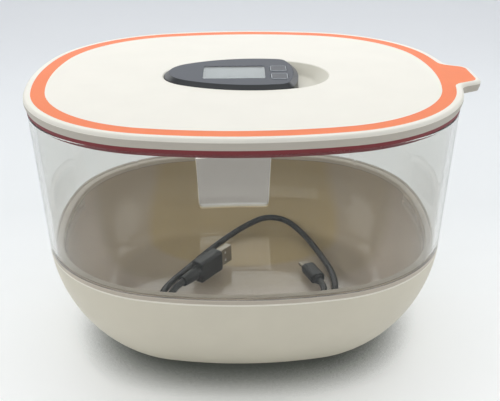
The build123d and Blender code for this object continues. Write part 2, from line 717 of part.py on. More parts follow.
def lid_cover():
    """Plate with a rolled edge, tapered skirt, groove for the inlay, recess and module tub."""
    plate_z = LID_Z - LID_PLATE
    outline = tab_outline(LID_OVERHANG, 0.0, plate_z)
    cover = extrude(outline, LID_PLATE)
    cover = fillet(cover.faces().sort_by(Axis.Z)[-1].edges(), LID_EDGE_FILLET)
    skirt = extrude(outline, -(LID_THICKNESS - LID_PLATE), taper=LID_SKIRT_TAPER)
    hollow = tab_outline(LID_OVERHANG - LID_SKIRT_WALL, LID_SKIRT_WALL, SKIRT_Z)
    cover += skirt - extrude(hollow, LID_THICKNESS - LID_PLATE)
    rib = -2 * LID_RIB_WIDTH
    cover += ring(rib, rib + LID_RIB_WIDTH, SKIRT_Z + PANEL_FLANGE, plate_z)
    cover -= lid_inlay()
    tub_z = MODULE_BASE_Z - SEAT_GAP
    cover += extrude(Pos(0, 0, tub_z - TUB_WALL) * recess_outline(-TUB_WALL), plate_z - tub_z + TUB_WALL)
    scoop = extrude(Pos(0, 0, LID_Z) * recess_outline(0), -SCOOP_DEPTH, taper=SCOOP_TAPER)
    cover -= fillet(scoop.faces().sort_by(Axis.Z)[0].edges(), SCOOP_FILLET)
    cover -= module_plate(-MODULE_GAP, tub_z, LID_Z)
    return cover - stub_hole(tub_z - TUB_WALL, tub_z)


def lid_inlay():
    low = LID_Z - INLAY_DEPTH
    outline = tab_outline(INLAY_WIDTH - INLAY_INSET, INLAY_TAB_MARGIN, low)
    return extrude(outline, INLAY_DEPTH) - plan_plate(-INLAY_INSET, low, LID_Z)


def lid_seal():
    """Flange squeezed between the bowl's rim and the lid, with a lip that hangs in the mouth."""
    inner = BOWL_FLARE - BOWL_WALL - SEAL_GAP - SEAL_LIP
    seal = ring(inner, BOWL_FLARE, BOWL_TOP_Z + SEAT_GAP, SKIRT_Z)
    return seal + ring(inner, inner + SEAL_LIP, BOWL_TOP_Z - SEAL_LIP_DROP, SKIRT_Z)


def lid_inner_panel():
    """Tray under the cover: its flange traps the seal and its wall carries the lip."""
    wall = BOWL_FLARE - BOWL_WALL - SEAL_GAP - SEAL_LIP
    flange = LID_OVERHANG - LID_SKIRT_WALL - SEAT_GAP
    panel = ring(wall - PANEL_WALL, flange, SKIRT_Z, SKIRT_Z + PANEL_FLANGE)
    panel += ring(wall - PANEL_WALL, wall, PANEL_Z, SKIRT_Z)
    panel += plan_plate(wall - PANEL_WALL, PANEL_Z, PANEL_Z + PANEL_PLATE)
    return panel - stub_hole(PANEL_Z, PANEL_Z + PANEL_PLATE)


def stub_hole(low, high):
    return posts([(STUB_X, RECESS_Y)], STUB_RADIUS + MODULE_GAP, low, high)[0]


# Display module

KEYS = {"key_front": KEY_Y - KEY_SPACING / 2, "key_rear": KEY_Y + KEY_SPACING / 2}
MODULE_SCREWS = [
    (x, RECESS_Y + side * y) for x, y in (MODULE_SCREW_LEFT, MODULE_SCREW_RIGHT) for side in (-1, 1)
]


def rounded_plate(width, depth, radius, low, high):
    return extrude(Pos(0, 0, low) * RectangleRounded(width, depth, radius), high - low)


def module_case():
    """Case with sloping shoulders, open on top for the face and round below for the cell door."""
    case = module_plate(0, MODULE_BASE_Z, MODULE_TOP_Z)
    top = case.faces().sort_by(Axis.Z)[-1]
    case = chamfer(top.edges(), MODULE_BEVEL_WIDTH, MODULE_BEVEL_HEIGHT, reference=top)
    floor_z = MODULE_BASE_Z + MODULE_FLOOR
    seat = MODULE_BEVEL_WIDTH + MODULE_LEDGE
    case -= module_plate(MODULE_WALL, floor_z, MODULE_TOP_Z - MODULE_BEVEL_HEIGHT - MODULE_FLOOR / 2)
    case -= module_plate(seat, floor_z, FACE_Z)
    case -= module_plate(MODULE_BEVEL_WIDTH, FACE_Z, MODULE_TOP_Z)
    post = MODULE_SCREW_RADIUS + MODULE_POST_WALL
    for boss in posts(MODULE_SCREWS, post, floor_z, MODULE_BOARD_Z):
        case += boss
    for hole in posts(MODULE_SCREWS, MODULE_SCREW_RADIUS + THREAD_GAP, floor_z, MODULE_BOARD_Z):
        case -= hole
    door = posts([(CELL_X, RECESS_Y)], DOOR_RADIUS + FIT_GAP, MODULE_BASE_Z, floor_z)[0]
    stub = posts([(STUB_X, RECESS_Y)], STUB_RADIUS + THREAD_GAP, MODULE_BASE_Z, floor_z)[0]
    return case - door - stub


def module_face():
    face = module_plate(MODULE_BEVEL_WIDTH + MODULE_FACE_GAP, FACE_Z, MODULE_TOP_Z)
    opening = rounded_plate(LCD_WIDTH, LCD_DEPTH, LCD_RADIUS, FACE_Z, MODULE_TOP_Z)
    face -= Pos(LCD_X, LCD_Y) * opening
    hole = rounded_plate(KEY_WIDTH + 2 * KEY_GAP, KEY_DEPTH + 2 * KEY_GAP, KEY_RADIUS + KEY_GAP, FACE_Z, MODULE_TOP_Z)
    for y in KEYS.values():
        face -= Pos(KEY_X, y) * hole
    return face


def display_window():
    top = MODULE_TOP_Z - WINDOW_RECESS
    gap = 2 * THREAD_GAP
    window = rounded_plate(LCD_WIDTH - gap, LCD_DEPTH - gap, LCD_RADIUS - THREAD_GAP, top - WINDOW_THICKNESS, top)
    return Pos(LCD_X, LCD_Y) * window


def lcd_panel():
    top = MODULE_BOARD_TOP_Z + LCD_THICKNESS
    width = LCD_WIDTH + 2 * LCD_BORDER
    depth = LCD_DEPTH + 2 * LCD_BORDER
    return Pos(LCD_X, LCD_Y) * rounded_plate(width, depth, LCD_RADIUS, MODULE_BOARD_TOP_Z, top)


def key(y):
    """Cap through the face, with a flange that stops against the face's underside."""
    top = MODULE_TOP_Z + KEY_PROUD
    cap = rounded_plate(KEY_WIDTH, KEY_DEPTH, KEY_RADIUS, KEY_FLANGE_Z, top)
    cap = fillet(cap.faces().sort_by(Axis.Z)[-1].edges(), KEY_TOP_FILLET)
    wide = KEY_WIDTH + 2 * KEY_GAP + 2 * KEY_FLANGE
    deep = KEY_DEPTH + 2 * KEY_GAP + 2 * KEY_FLANGE
    cap += rounded_plate(wide, deep, KEY_RADIUS, KEY_FLANGE_Z, KEY_FLANGE_Z + KEY_FLANGE_THICKNESS)
    return Pos(KEY_X, y) * cap


def module_board():
    board = module_plate(MODULE_BOARD_MARGIN, MODULE_BOARD_Z, MODULE_BOARD_TOP_Z)
    for hole in posts(MODULE_SCREWS, MODULE_SCREW_RADIUS + THREAD_GAP, MODULE_BOARD_Z, MODULE_BOARD_TOP_Z):
        board -= hole
    return board


def key_switches():
    """One dome switch on the board under each key."""
    switch = Box(SWITCH_SIZE, SWITCH_SIZE, SWITCH_HEIGHT, align=(Align.CENTER, Align.CENTER, Align.MIN))
    switch = chamfer(switch.edges().filter_by(Axis.Z), SWITCH_SIZE / 5)
    return Compound([Pos(KEY_X, y, MODULE_BOARD_TOP_Z) * switch for y in KEYS.values()])


def cell_holder():
    """Ring on the board's underside that holds the coin cell."""
    inner = CELL_RADIUS + CELL_GAP
    low = MODULE_BOARD_Z - CELL_HOLDER_HEIGHT
    wall = posts([(CELL_X, RECESS_Y)], inner + CELL_HOLDER_WALL, low, MODULE_BOARD_Z)[0]
    return wall - posts([(CELL_X, RECESS_Y)], inner, low, MODULE_BOARD_Z)[0]


def coin_cell():
    low = MODULE_BOARD_Z - CELL_THICKNESS - CELL_GAP
    cell = Cylinder(CELL_RADIUS, CELL_THICKNESS, align=(Align.CENTER, Align.CENTER, Align.MIN))
    rims = cell.edges().filter_by(GeomType.CIRCLE)
    return Pos(CELL_X, RECESS_Y, low) * chamfer(rims, CELL_GAP * 2)


def cell_door():
    high = MODULE_BOARD_Z - CELL_THICKNESS - CELL_GAP
    door = Cylinder(DOOR_RADIUS, high - MODULE_BASE_Z, align=(Align.CENTER, Align.CENTER, Align.MIN))
    slot = Box(DOOR_RADIUS, DOOR_SLOT_WIDTH, DOOR_SLOT_DEPTH, align=(Align.CENTER, Align.CENTER, Align.MIN))
    return Pos(CELL_X, RECESS_Y, MODULE_BASE_Z) * (door - slot)


def sensor_stub():
    """Hollow cap on the module's underside that reaches the air under the lid."""
    floor_z = MODULE_BASE_Z + MODULE_FLOOR
    low = MODULE_BASE_Z - STUB_LENGTH
    spot = [(STUB_X, RECESS_Y)]
    stub = posts(spot, STUB_RADIUS, low, floor_z)[0]
    tip = stub.edges().filter_by(GeomType.CIRCLE).sort_by(Axis.Z)[0]
    stub = fillet(tip, STUB_SLOT_WIDTH)
    stub += posts(spot, STUB_RADIUS + STUB_FLANGE, floor_z, floor_z + MODULE_FLOOR / 2)[0]
    stub -= posts(spot, STUB_BORE, low + STUB_SLOT_DEPTH / 2, floor_z + MODULE_FLOOR / 2)[0]
    slot = Box(3 * STUB_RADIUS, STUB_SLOT_WIDTH, STUB_SLOT_DEPTH, align=(Align.CENTER, Align.CENTER, Align.MIN))
    for turn in (0, 90):
        stub -= Pos(STUB_X, RECESS_Y, low) * Rot(0, 0, turn) * slot
    return stub


# Lead and plugs

LEAD_Z = BOWL_FLOOR_Z + BOWL_WALL + LEAD_DIAMETER / 2 + LEAD_REST_GAP
LEAD_POINTS = [Vector(x, y, LEAD_Z + rise) for x, y, rise in LEAD_ROUTE]


def lead_radii():
    """One radius for each point between the ends, as large as the two runs beside it allow."""
    runs = [end - start for start, end in zip(LEAD_POINTS, LEAD_POINTS[1:])]
    radii = []
    for before, after in zip(runs, runs[1:]):
        half_turn = math.radians(before.get_angle(after)) / 2
        radii.append(LEAD_RADIUS_SHARE * min(before.length, after.length) / math.tan(half_turn))
    return radii


def power_lead():
    radii = lead_radii()
    route = FilletPolyline(*LEAD_POINTS, radius=radii)
    section = Plane(origin=route @ 0, z_dir=route % 0) * Circle(LEAD_DIAMETER / 2)
    tube = sweep(section, path=route)
    expected = math.pi * LEAD_DIAMETER**2 / 4 * route.length
    print("lead radii", [round(radius, 1) for radius in radii])
    print("lead length", round(route.length, 1), "volume ratio", round(tube.volume / expected, 4))
    return tube


def plug_plane(end, beyond, upright):
    """Plane at an end of the lead, facing away from it; its X is upright or level."""
    away = (LEAD_POINTS[end] - LEAD_POINTS[beyond]).normalized()
    across = Vector(0, 0, 1).cross(away)
    return Plane(origin=LEAD_POINTS[end], x_dir=(0, 0, 1) if upright else across, z_dir=away)


def slab(width, height, edge, low, high):
    return extrude(Pos(0, 0, low) * RectangleRounded(width, height, edge), high - low)


def grip(width, height, edge, low, high):
    body = slab(width, height, edge, low, high)
    ends = [body.faces().sort_by(Axis.Z)[index] for index in (0, -1)]
    return fillet([line for face in ends for line in face.edges()], GRIP_END_FILLET)


LARGE_PLUG = plug_plane(0, 1, upright=True)
SMALL_PLUG = plug_plane(-1, -2, upright=False)
GRIP_END = BOOT_LENGTH + GRIP_LENGTH
SMALL_GRIP_END = SMALL_BOOT_LENGTH + SMALL_GRIP_LENGTH


def usb_plug_grip():
    """Moulded grip with a stepped neck and a tapered boot round the lead."""
    low = (Align.CENTER, Align.CENTER, Align.MIN)
    body = grip(GRIP_WIDTH, GRIP_HEIGHT, GRIP_EDGE, BOOT_LENGTH, GRIP_END)
    neck_start = BOOT_LENGTH - BOOT_STEP
    body += Pos(0, 0, neck_start) * Cylinder(GRIP_HEIGHT / 2, BOOT_STEP + GRIP_END_FILLET, align=low)
    body += Cone(BOOT_TIP_RADIUS, BOOT_RADIUS, neck_start, align=low)
    return LARGE_PLUG * body


def usb_plug_shell():
    """Folded metal shell with two latch holes in each wide face."""
    top = GRIP_END + PLUG_LENGTH
    shell = slab(PLUG_WIDTH, PLUG_HEIGHT, PLUG_EDGE, GRIP_END, top)
    inner_width = PLUG_WIDTH - 2 * PLUG_WALL
    inner_height = PLUG_HEIGHT - 2 * PLUG_WALL
    shell -= slab(inner_width, inner_height, PLUG_EDGE - PLUG_WALL, GRIP_END, top)
    hole = Box(PLUG_HOLE, 2 * PLUG_HEIGHT, PLUG_HOLE)
    for side in (-1, 1):
        shell -= Pos(side * PLUG_HOLE_SPACING / 2, 0, GRIP_END + PLUG_HOLE_REACH) * hole
    return LARGE_PLUG * shell


def usb_plug_tongue():
    """Plastic tongue that carries the contacts, on one side of the shell's inside."""
    width = PLUG_WIDTH - 2 * PLUG_EDGE
    side = PLUG_HEIGHT / 2 - PLUG_WALL - THREAD_GAP - PLUG_TONGUE / 2
    tongue = slab(width, PLUG_TONGUE, THREAD_GAP, GRIP_END, GRIP_END + PLUG_LENGTH - PLUG_TONGUE_BACK)
    return LARGE_PLUG * Pos(0, side, 0) * tongue


def power_plug_grip():
    low = (Align.CENTER, Align.CENTER, Align.MIN)
    body = grip(SMALL_GRIP_WIDTH, SMALL_GRIP_HEIGHT, SMALL_GRIP_EDGE, SMALL_BOOT_LENGTH, SMALL_GRIP_END)
    body += Cylinder(SMALL_BOOT_RADIUS, SMALL_BOOT_LENGTH + GRIP_END_FILLET, align=low)
    return SMALL_PLUG * body


def power_plug_tip():
    """Round-ended metal tube with its tongue, which fits the socket in the base."""
    top = SMALL_GRIP_END + TIP_LENGTH
    inner_width = TIP_WIDTH - 2 * TIP_WALL
    inner_height = TIP_HEIGHT - 2 * TIP_WALL
    tip = slab(TIP_WIDTH, TIP_HEIGHT, TIP_HEIGHT * 0.49, SMALL_GRIP_END, top)
    tip -= slab(inner_width, inner_height, inner_height * 0.49, SMALL_GRIP_END + TIP_TONGUE, top)
    return SMALL_PLUG * tip


NODES = {
    "base_shell": base_shell(),
    "base_liner": base_liner(),
    "heater_plate": heater_plate(),
    "heater_film": heater_film(),
    "heater_sensor": heater_sensor(),
    "control_board": control_board(),
    "power_socket": power_socket(),
    "socket_bezel": socket_bezel(),
    "liner_screws": screws(
        LINER_SCREWS, LINER_SCREW_RADIUS, LINER_SCREW_LENGTH, SCREW_HEAD_HEIGHT, SCREW_SEAT_Z
    ),
    "board_screws": screws(
        BOARD_SCREWS, BOARD_SCREW_RADIUS, BOARD_SCREW_LENGTH, BOARD_SCREW_HEAD, BOARD_TOP_Z, up=False
    ),
    "clear_bowl": clear_bowl(),
    "lid_cover": lid_cover(),
    "lid_inlay": lid_inlay(),
    "lid_seal": lid_seal(),
    "lid_inner_panel": lid_inner_panel(),
    "module_case": module_case(),
    "module_face": module_face(),
    "display_window": display_window(),
    "lcd_panel": lcd_panel(),
    "module_board": module_board(),
    "key_switches": key_switches(),
    "cell_holder": cell_holder(),
    "coin_cell": coin_cell(),
    "cell_door": cell_door(),
    "sensor_stub": sensor_stub(),
    "module_screws": screws(
        MODULE_SCREWS,
        MODULE_SCREW_RADIUS,
        MODULE_SCREW_LENGTH,
        MODULE_SCREW_HEAD,
        MODULE_BOARD_TOP_Z,
        up=False,
    ),
}
NODES["power_lead"] = power_lead()
NODES["usb_plug_grip"] = usb_plug_grip()
NODES["usb_plug_shell"] = usb_plug_shell()
NODES["usb_plug_tongue"] = usb_plug_tongue()
NODES["power_plug_grip"] = power_plug_grip()
NODES["power_plug_tip"] = power_plug_tip()
NODES.update({name: foot(x, y) for name, (x, y) in FEET.items()})
NODES.update({name: key(y) for name, y in KEYS.items()})

os.makedirs("parts", exist_ok=True)
for name, shape in NODES.items():
    export_step(Pos(-TAB_REACH / 2, 0, 0) * shape, f"parts/{name}.step")
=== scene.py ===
import math

import bpy
from mathutils import Matrix, Vector


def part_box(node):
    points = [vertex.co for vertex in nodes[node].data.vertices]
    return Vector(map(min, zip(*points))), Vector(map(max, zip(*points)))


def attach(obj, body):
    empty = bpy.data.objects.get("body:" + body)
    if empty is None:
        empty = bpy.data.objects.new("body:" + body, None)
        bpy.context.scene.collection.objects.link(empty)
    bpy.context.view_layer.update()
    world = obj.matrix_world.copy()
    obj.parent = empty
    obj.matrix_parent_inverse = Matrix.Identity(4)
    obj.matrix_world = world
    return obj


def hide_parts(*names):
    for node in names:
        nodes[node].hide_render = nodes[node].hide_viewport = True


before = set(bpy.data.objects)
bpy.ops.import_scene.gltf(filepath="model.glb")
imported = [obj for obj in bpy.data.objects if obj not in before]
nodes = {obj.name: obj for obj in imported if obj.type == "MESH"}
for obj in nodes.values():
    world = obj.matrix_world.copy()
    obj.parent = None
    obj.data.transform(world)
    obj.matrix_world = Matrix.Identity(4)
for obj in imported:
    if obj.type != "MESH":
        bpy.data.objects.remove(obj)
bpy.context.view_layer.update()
scene = bpy.context.scene

# Middle of the bowl and of the notch, and the heights of floor, rim and lid, in metres
BOWL_X = -0.0057
NOTCH_X = -0.0127
FLOOR_Z = 0.02515
RIM_Z = 0.07
LID_Z = 0.1623

# Camera fitted to the photo: angles in radians, place in metres from the middle of the lid's top
CAMERA_PITCH = 0.4305
CAMERA_YAW = 0.0171
CAMERA_ROLL = -0.0039
CAMERA_SIDE = 0.0035504
CAMERA_BACK = 0.4567248
CAMERA_RISE = 0.1277696
CAMERA_LENS = 57.6
CAMERA_SENSOR = 36

# Colour variation and grain of the materials: noise scales, and the grain's height in metres
MOTTLE_SCALE = 38.0
MOTTLE_STOPS = (0.35, 0.65)
MOTTLE_BRIGHTEST = 0.98
GRAIN_SCALE = 1400.0
GRAIN_HEIGHT = 0.0002
BLACK = (0, 0, 0, 1)
WHITE = (1, 1, 1, 1)

# Share of the lamps' light that clear plastic lets through
CLEAR_SHARE = (0.985, 0.985, 0.98, 1)

# Shell: the painted highlight on the rim's edge, and how far below the rim it begins
SHELL_RIM_HIGHLIGHT = 0.0009

# Liner: the browner ellipse of painted shade towards the rear and the darker painted band around it, as
# shares of a reach in squared half sizes
SHADE_OVAL_Y = 0.072
SHADE_OVAL_HALF_X = 0.074
SHADE_OVAL_HALF_Y = 0.053
SHADE_OVAL_REACH = 3.0
SHADE_OVAL_STOPS = (0.26, 0.32)
SHADE_SHOULDER_STOPS = (0.66, 0.86)

# Clear bowl: the rougher, less clear ledge, as shares of a range of heights centred on the rim
LEDGE_RANGE = 0.02
LEDGE_STOPS = (0.47, 0.5, 0.62, 0.66)
UNDER_STOPS = (0.05, 0.3, 0.62, 0.66)
UNDER_FRONT_Y = 0.03
UNDER_SHARE = 0.4
LEDGE_OPACITY = 0.8
LEDGE_ROUGHNESS = 0.3
CLEAR_ROUGHNESS = 0.02

# Clear bowl: painted shade, a grey patch where the bowl faces the notch in the rear wall
REAR_Y = 0.06
NOTCH_HALF = 0.0285
SHADE_PATCH_HALF = 0.0236
SHADE_PATCH_LEAN = 0.0625
SHADE_PATCH_LOW = 0.0372
SHADE_PATCH_ABOVE_RIM = 0.0016

# Lid: the recess's half sizes, and how far below the lid's top the recess and the skirt begin, which
# are greyed with painted shade
RECESS_HALF_X = 0.06
RECESS_HALF_Y = 0.05
RECESS_DROP = 0.0004
SKIRT_DROP = 0.0019

# Keys: half sizes, and the share at which the painted highlight round the top begins
KEY_HALF_X = 0.00485
KEY_HALF_Y = 0.00575
KEY_HIGHLIGHT_START = 0.88

# Floor paper: where its colour starts to change and over what distance, then the reach and stops of the
# painted shadow round the object
PAPER_NEAR_Y = -0.2
PAPER_REACH = 1.2
PAPER_STOPS = (0.0, 0.3, 0.9)
CONTACT_SHADOW_DISTANCE = 0.038
CONTACT_SHADOW_STOPS = (0.25, 0.62)

# Floor and backdrop: a flat part, a quarter turn and a wall, in metres
SWEEP_FRONT_Y = -12.0
SWEEP_BEND_Y = 0.55
SWEEP_RADIUS = 0.5
SWEEP_TOP = 3.0
SWEEP_HALF = 9.0
SWEEP_STEPS = 12


def place_camera():
    sin_yaw = math.sin(CAMERA_YAW)
    cos_yaw = math.cos(CAMERA_YAW)
    cos_pitch = math.cos(CAMERA_PITCH)
    place = Vector((
        BOWL_X + cos_yaw * CAMERA_SIDE - sin_yaw * CAMERA_BACK,
        -sin_yaw * CAMERA_SIDE - cos_yaw * CAMERA_BACK,
        LID_Z + CAMERA_RISE,
    ))
    right = Vector((cos_yaw, -sin_yaw, 0))
    ahead = Vector((sin_yaw * cos_pitch, cos_yaw * cos_pitch, -math.sin(CAMERA_PITCH)))
    up = right.cross(ahead)
    tilted_right = right * math.cos(CAMERA_ROLL) + up * math.sin(CAMERA_ROLL)
    tilted_up = up * math.cos(CAMERA_ROLL) - right * math.sin(CAMERA_ROLL)
    data = bpy.data.cameras.new("camera")
    data.sensor_width = CAMERA_SENSOR
    data.lens = CAMERA_LENS
    data.clip_start = 0.01
    camera = bpy.data.objects.new("camera", data)
    camera.matrix_world = Matrix.Translation(place) @ Matrix((
        (tilted_right.x, tilted_up.x, -ahead.x, 0),
        (tilted_right.y, tilted_up.y, -ahead.y, 0),
        (tilted_right.z, tilted_up.z, -ahead.z, 0),
        (0, 0, 0, 1),
    ))
    scene.collection.objects.link(camera)
    scene.camera = camera


# Tools for the materials

def linear(red, green, blue):
    """A colour given as on screen, 0 to 255."""
    def curve(value):
        value /= 255
        return value / 12.92 if value <= 0.04045 else ((value + 0.055) / 1.055) ** 2.4
    return (curve(red), curve(green), curve(blue), 1)


def grey(level):
    return (level, level, level, 1)


def dress(shader, *names):
    for name in names:
        data = nodes[name].data
        data.materials.clear()
        data.materials.append(shader.material)


class Shader:
    """A Principled material with a little colour variation and grain."""

    def __init__(self, name, colour, roughness, variation=0.04, grain=0.0, **sockets):
        self.material = bpy.data.materials.new(name)
        self.material.use_nodes = True
        self.tree = self.material.node_tree
        self.main = next(n for n in self.tree.nodes if n.type == "BSDF_PRINCIPLED")
        self.output = next(n for n in self.tree.nodes if n.type == "OUTPUT_MATERIAL")
        self.place = self.add("ShaderNodeTexCoord").outputs["Object"]
        self.colour = self.mottled(colour, variation) if variation else colour
        self.set("Base Color", self.colour)
        self.set("Roughness", roughness)
        for key, value in sockets.items():
            self.set(key.replace("_", " "), value)
        if grain:
            self.roughen(grain)

    def add(self, kind, **settings):
        node = self.tree.nodes.new(kind)
        for key, value in settings.items():
            setattr(node, key, value)
        return node

    def feed(self, socket, value):
        """Links another node's output to a socket, or sets the socket to a plain value."""
        if isinstance(value, bpy.types.NodeSocket):
            self.tree.links.new(value, socket)
        else:
            socket.default_value = value

    def set(self, name, value):
        self.feed(self.main.inputs[name], value)

    def noise(self, scale, detail):
        node = self.add("ShaderNodeTexNoise")
        node.inputs["Scale"].default_value = scale
        node.inputs["Detail"].default_value = detail
        self.feed(node.inputs["Vector"], self.place)
        return node.outputs["Fac"]

    def ramp(self, source, stops, colours):
        node = self.add("ShaderNodeValToRGB")
        while len(node.color_ramp.elements) < len(stops):
            node.color_ramp.elements.new(0.5)
        for element, stop, colour in zip(node.color_ramp.elements, stops, colours):
            element.position = stop
            element.color = colour
        self.feed(node.inputs["Fac"], source)
        return node.outputs["Color"]

    def mix(self, factor, first, second, blend="MIX"):
        node = self.add("ShaderNodeMix", data_type="RGBA", blend_type=blend)
        self.feed(node.inputs[0], factor)
        self.feed(node.inputs[6], first)
        self.feed(node.inputs[7], second)
        return node.outputs[2]

    def math(self, operation, first, second=0.0):
        node = self.add("ShaderNodeMath", operation=operation)
        self.feed(node.inputs[0], first)
        self.feed(node.inputs[1], second)
        return node.outputs[0]

    def axis(self, name):
        node = self.add("ShaderNodeSeparateXYZ")
        self.feed(node.inputs[0], self.place)
        return node.outputs[name]

    def above(self, name, limit):
        return self.math("GREATER_THAN", self.axis(name), limit)

    def below(self, name, limit):
        return self.math("LESS_THAN", self.axis(name), limit)

    def away(self, name, middle):
        """Distance from a place on one axis."""
        return self.math("ABSOLUTE", self.math("SUBTRACT", self.axis(name), middle))

    def both(self, first, second):
        return self.math("MULTIPLY", first, second)

    def either(self, first, second):
        return self.math("MAXIMUM", first, second)

    def mottled(self, colour, variation):
        dark = tuple(c * (1 - variation) for c in colour[:3]) + (1,)
        light = tuple(min(c * (1 + variation), MOTTLE_BRIGHTEST) for c in colour[:3]) + (1,)
        return self.ramp(self.noise(MOTTLE_SCALE, 4), MOTTLE_STOPS, (dark, light))

    def roughen(self, strength):
        node = self.add("ShaderNodeBump")
        node.inputs["Strength"].default_value = strength
        node.inputs["Distance"].default_value = GRAIN_HEIGHT
        self.feed(node.inputs["Height"], self.noise(GRAIN_SCALE, 3))
        self.set("Normal", node.outputs["Normal"])

    def clear_to_lamps(self):
        """Lets the lamps' light through clear plastic, so that what is behind it is lit."""
        path = self.add("ShaderNodeLightPath")
        through = self.add("ShaderNodeBsdfTransparent")
        through.inputs["Color"].default_value = CLEAR_SHARE
        mixer = self.add("ShaderNodeMixShader")
        self.feed(mixer.inputs[0], path.outputs["Is Shadow Ray"])
        self.feed(mixer.inputs[1], self.main.outputs[0])
        self.feed(mixer.inputs[2], through.outputs[0])
        self.feed(self.output.inputs["Surface"], mixer.outputs[0])


# Base

def shell_material():
    """Cream plastic, a little lighter on the rim's edge: a painted highlight."""
    shell = Shader("shell_plastic", linear(221, 215, 197), 0.45, variation=0.02, grain=0.10)
    # Painted highlight: a lighter band along the top of the rim
    edge = shell.above("Z", RIM_Z - SHELL_RIM_HIGHLIGHT)
    shell.set("Base Color", shell.mix(edge, shell.colour, linear(250, 247, 235)))
    dress(shell, "base_shell")


def liner_material():
    """Taupe, with painted shade: a browner ellipse towards the rear and a darker band around it."""
    liner = Shader("liner_plastic", linear(248, 232, 220), 0.6, variation=0.03, grain=0.12)
    across = liner.math("DIVIDE", liner.math("SUBTRACT", liner.axis("X"), BOWL_X), SHADE_OVAL_HALF_X)
    along = liner.math("DIVIDE", liner.math("SUBTRACT", liner.axis("Y"), SHADE_OVAL_Y), SHADE_OVAL_HALF_Y)
    reach = liner.math("ADD", liner.both(across, across), liner.both(along, along))
    near = liner.math("DIVIDE", reach, SHADE_OVAL_REACH)
    # Painted shade: browner towards the rear, with a darker band between it and the plain taupe
    shade_oval = liner.ramp(near, SHADE_OVAL_STOPS, (WHITE, BLACK))
    shade_shoulder = liner.ramp(near, SHADE_SHOULDER_STOPS, (WHITE, BLACK))
    tone = liner.mix(shade_shoulder, liner.colour, linear(230, 212, 190))
    liner.set("Base Color", liner.mix(shade_oval, tone, linear(232, 208, 164)))
    dress(liner, "base_liner")


def heater_materials():
    rolled = Shader(
        "rolled_aluminium", linear(200, 202, 203), 0.35, variation=0.05, grain=0.15, Metallic=1.0)
    dress(rolled, "heater_plate")
    film = Shader("heater_film", linear(190, 122, 42), 0.3, variation=0.06)
    dress(film, "heater_film")


# Bowl

def ledge_mask(bowl):
    """Where the bowl is rougher and less clear: its ledge all round but for the notch, and less so
    below it in front.
    """
    height = bowl.math("SUBTRACT", bowl.axis("Z"), RIM_Z - LEDGE_RANGE / 2)
    height = bowl.math("DIVIDE", height, LEDGE_RANGE)
    ledge = bowl.ramp(height, LEDGE_STOPS, (BLACK, WHITE, WHITE, BLACK))
    under = bowl.ramp(height, UNDER_STOPS, (BLACK, WHITE, WHITE, BLACK))
    beside = bowl.math("GREATER_THAN", bowl.away("X", NOTCH_X), NOTCH_HALF)
    ledge = bowl.both(ledge, bowl.either(bowl.below("Y", REAR_Y), beside))
    under = bowl.both(bowl.both(under, bowl.below("Y", UNDER_FRONT_Y)), UNDER_SHARE)
    return bowl.either(ledge, under)


def notch_shade_mask(bowl):
    """Where the bowl faces the notch, whose sides lean outwards: the place of the painted grey shade.
    """
    half = bowl.math("ADD", bowl.math("MULTIPLY", bowl.axis("Z"), SHADE_PATCH_LEAN), SHADE_PATCH_HALF)
    between = bowl.math("LESS_THAN", bowl.away("X", NOTCH_X), half)
    level = bowl.both(bowl.above("Z", SHADE_PATCH_LOW), bowl.below("Z", RIM_Z + SHADE_PATCH_ABOVE_RIM))
    return bowl.both(bowl.both(between, bowl.above("Y", REAR_Y)), level)


def bowl_material():
    """Clear plastic, rougher and less clear on the ledge that rests on the shell's rim, and grey in
    front of the notch: painted shade.
    """
    bowl = Shader("bowl_clear", linear(236, 236, 233), CLEAR_ROUGHNESS, variation=0.0, IOR=1.28)
    satin_and_shade = ledge_mask(bowl)
    # Painted shade: grey where the bowl faces the notch
    tint_and_shade = bowl.mix(notch_shade_mask(bowl), bowl.colour, linear(172, 166, 159))
    clearness = bowl.math("SUBTRACT", 1.0, bowl.math("MULTIPLY", satin_and_shade, LEDGE_OPACITY))
    roughness = bowl.math("ADD", bowl.math("MULTIPLY", satin_and_shade, LEDGE_ROUGHNESS), CLEAR_ROUGHNESS)
    bowl.set("Base Color", bowl.mix(satin_and_shade, tint_and_shade, linear(208, 199, 185)))
    bowl.set("Transmission Weight", clearness)
    bowl.set("Roughness", roughness)
    bowl.clear_to_lamps()
    dress(bowl, "clear_bowl")


# Lid

def lid_material():
    """Cream plastic, greyer inside the recess and on the skirt: painted shade."""
    lid = Shader(
        "lid_plastic", linear(244, 241, 230), 0.5, variation=0.01, grain=0.05, Specular_IOR_Level=0.3)
    across = lid.math("LESS_THAN", lid.away("X", BOWL_X), RECESS_HALF_X)
    along = lid.math("LESS_THAN", lid.away("Y", 0.0), RECESS_HALF_Y)
    middle = lid.both(across, along)
    # Painted shade: the recess and the skirt greyer than the lid's top
    recess = lid.both(lid.below("Z", LID_Z - RECESS_DROP), middle)
    skirt = lid.both(lid.below("Z", LID_Z - SKIRT_DROP), lid.math("SUBTRACT", 1.0, middle))
    satin_and_shade = lid.mix(recess, lid.colour, linear(222, 219, 204))
    lid.set("Base Color", lid.mix(skirt, satin_and_shade, linear(192, 186, 175)))
    dress(lid, "lid_cover")


def lid_part_materials():
    panel = Shader("panel_plastic", linear(232, 230, 220), 0.4, variation=0.01, grain=0.05)
    dress(panel, "lid_inner_panel")
    inlay = Shader(
        "inlay_silicone", linear(255, 136, 84), 0.6, variation=0.03, grain=0.2, Specular_IOR_Level=0.3)
    dress(inlay, "lid_inlay")


# Display module

def case_material():
    case = Shader(
        "case_plastic", linear(22, 27, 31), 0.32, variation=0.06, grain=0.1, Specular_IOR_Level=0.35)
    dress(case, "module_case", "cell_door")


